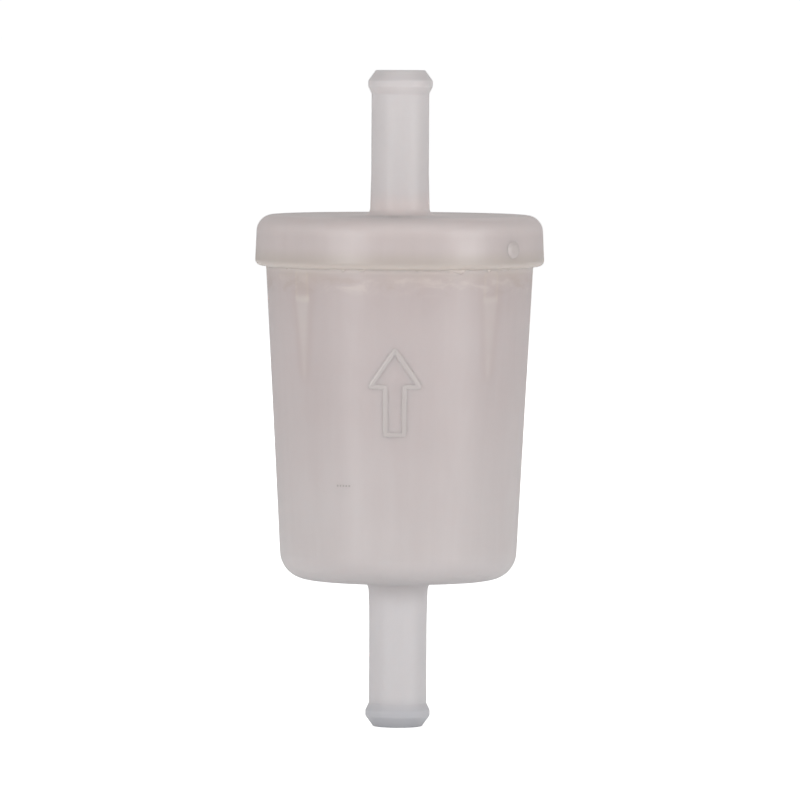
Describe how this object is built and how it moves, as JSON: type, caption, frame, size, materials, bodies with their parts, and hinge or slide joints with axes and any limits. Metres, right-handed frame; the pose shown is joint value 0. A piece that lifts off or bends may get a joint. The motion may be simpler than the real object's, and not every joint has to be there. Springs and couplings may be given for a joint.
{
  "type": "fuel filter",
  "caption": "Translucent plastic in-line fuel filter: a tapered cup and a skirted cap, each with a beaded hose spigot on one axis, around a hanging pleated paper element.",
  "frame": {"origin": "on the filter's axis at the tip of the cup's spigot, the lowest point", "axes": "+Z along the axis from the cup's spigot to the cap's spigot; the four inner ribs stand at 45 degrees to X and Y; -Y is the front"},
  "size_m": [0.0398, 0.0398, 0.0905],
  "materials": {
    "cup_nylon": "natural unpigmented nylon, translucent, satin",
    "cap_nylon": "natural unpigmented nylon, translucent, satin",
    "flash_nylon": "melted and set nylon, translucent, glossy",
    "end_plastic": "off-white moulded nylon, matt",
    "filter_paper": "resin-treated filter paper with a fine fibrous crepe",
    "adhesive": "set potting adhesive, pale amber, satin"
  },
  "bodies": {
    "root": {"housing_cup": "cup_nylon", "housing_cap": "cap_nylon", "weld_flash": "flash_nylon", "upper_end_ring": "end_plastic", "lower_end_disc": "end_plastic", "pleated_media": "filter_paper", "upper_adhesive": "adhesive", "lower_adhesive": "adhesive", "seam_adhesive": "adhesive"}
  },
  "joints": []
}
